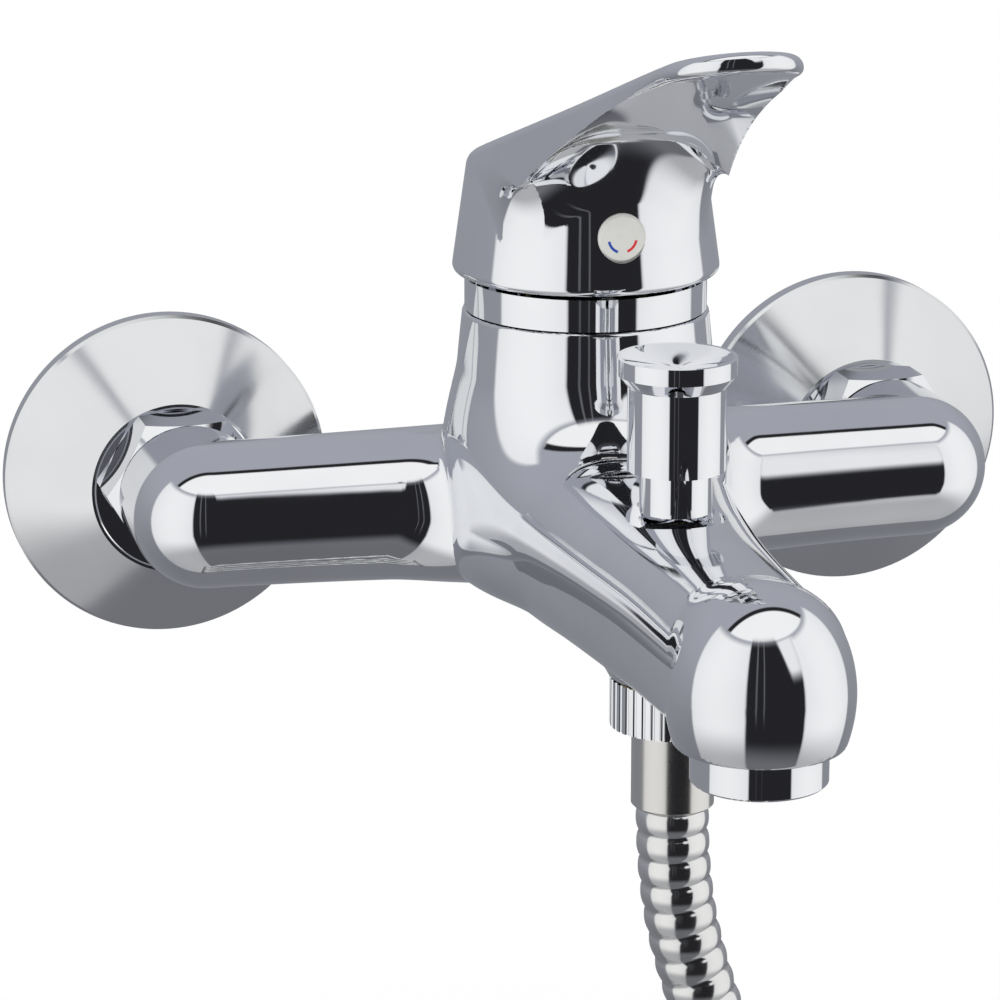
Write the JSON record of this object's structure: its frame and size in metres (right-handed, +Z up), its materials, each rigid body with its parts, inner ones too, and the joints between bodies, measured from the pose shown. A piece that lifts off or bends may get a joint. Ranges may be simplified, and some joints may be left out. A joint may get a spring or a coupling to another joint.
{
  "type": "bath tap",
  "caption": "Wall-mounted bath mixer with one lever, a pull-up diverter, a short spout and a coiled metal shower hose.",
  "frame": {"origin": "on the finished wall, midway between the two inlets and level with the axis of the tap's arms", "axes": "+X along the arms to the right as seen from in front, -Y out of the wall towards the user, +Z up"},
  "size_m": [0.2188, 0.204, 0.4851],
  "materials": {
    "chrome_body": "polished chrome plating on cast brass",
    "chrome_trim": "polished chrome plating on turned brass",
    "chrome_lever": "polished chrome plating on cast zinc",
    "rose_steel": "polished pressed steel",
    "plain_brass": "machined brass",
    "ferrule_steel": "satin stainless steel",
    "spring_steel": "stainless steel",
    "hose": "interlocked stainless steel strip",
    "hose_tie": "white plastic strap",
    "cartridge_plastic": "moulded plastic",
    "lever_steel": "machined steel",
    "ceramic": "lapped ceramic",
    "seal_rubber": "black rubber",
    "fibre": "red-brown fibre",
    "aerator_plastic": "moulded plastic",
    "button_plastic": "pale grey plastic"
  },
  "bodies": {
    "root": {"main_body": "chrome_body", "cover_ring": "chrome_trim", "cartridge_nut": "plain_brass", "cartridge_housing": "cartridge_plastic", "cartridge_base": "cartridge_plastic", "port_seals": "seal_rubber", "fixed_disc": "ceramic", "diverter_bonnet": "plain_brass", "bonnet_seal": "seal_rubber", "diverter_spring": "spring_steel", "aerator_housing": "chrome_trim", "aerator_washer": "seal_rubber", "aerator_insert": "aerator_plastic", "shower_outlet": "plain_brass", "hose_washer": "seal_rubber", "hose_nut": "chrome_trim", "hose_stem": "plain_brass", "hose_ferrule": "ferrule_steel", "shower_hose": "hose", "hose_coil": "hose", "hose_tie": "hose_tie", "hose_tail": "hose", "end_ferrule": "ferrule_steel", "end_nut": "chrome_trim", "end_stem": "plain_brass", "end_washer": "seal_rubber", "s_union_left": "plain_brass", "s_union_right": "plain_brass", "wall_rose_left": "rose_steel", "wall_rose_right": "rose_steel", "union_nut_left": "chrome_trim", "union_nut_right": "chrome_trim", "inlet_washer_left": "fibre", "inlet_washer_right": "fibre"},
    "rotor": {"cartridge_rotor": "cartridge_plastic", "rotor_seal": "seal_rubber", "pivot_pin": "spring_steel"},
    "lever": {"lever_handle": "chrome_lever", "cartridge_spindle": "lever_steel", "grub_screw": "spring_steel", "index_button": "button_plastic"},
    "disc": {"moving_disc": "ceramic", "disc_carrier": "cartridge_plastic"},
    "knob": {"diverter_knob": "chrome_trim", "diverter_spindle": "plain_brass", "diverter_valve": "plain_brass", "diverter_washer": "seal_rubber"}
  },
  "joints": [
    {"name": "lever_swivel", "type": "hinge", "parent": "root", "child": "rotor", "pos_m": [0, -0.057, 0.032], "axis": [0, 0, 1], "range_deg": [-50, 50]},
    {"name": "lever_lift", "type": "hinge", "parent": "rotor", "child": "lever", "pos_m": [0, -0.057, 0.032], "axis": [-1, 0, 0], "range_deg": [0, 20]},
    {"name": "disc_slide", "type": "slide", "parent": "rotor", "child": "disc", "axis": [0, -1, 0], "range_m": [0, 0.00293]},
    {"name": "diverter_pull", "type": "slide", "parent": "root", "child": "knob", "axis": [0, 0, 1], "range_m": [0, 0.0075], "stiffness_N_per_m": 300, "springref_m": -0.005, "deforming": ["diverter_spring"]}
  ],
  "couplings": [
    {"joint": "disc_slide", "follows": "lever_lift", "m_per_rad": 0.0084}
  ]
}
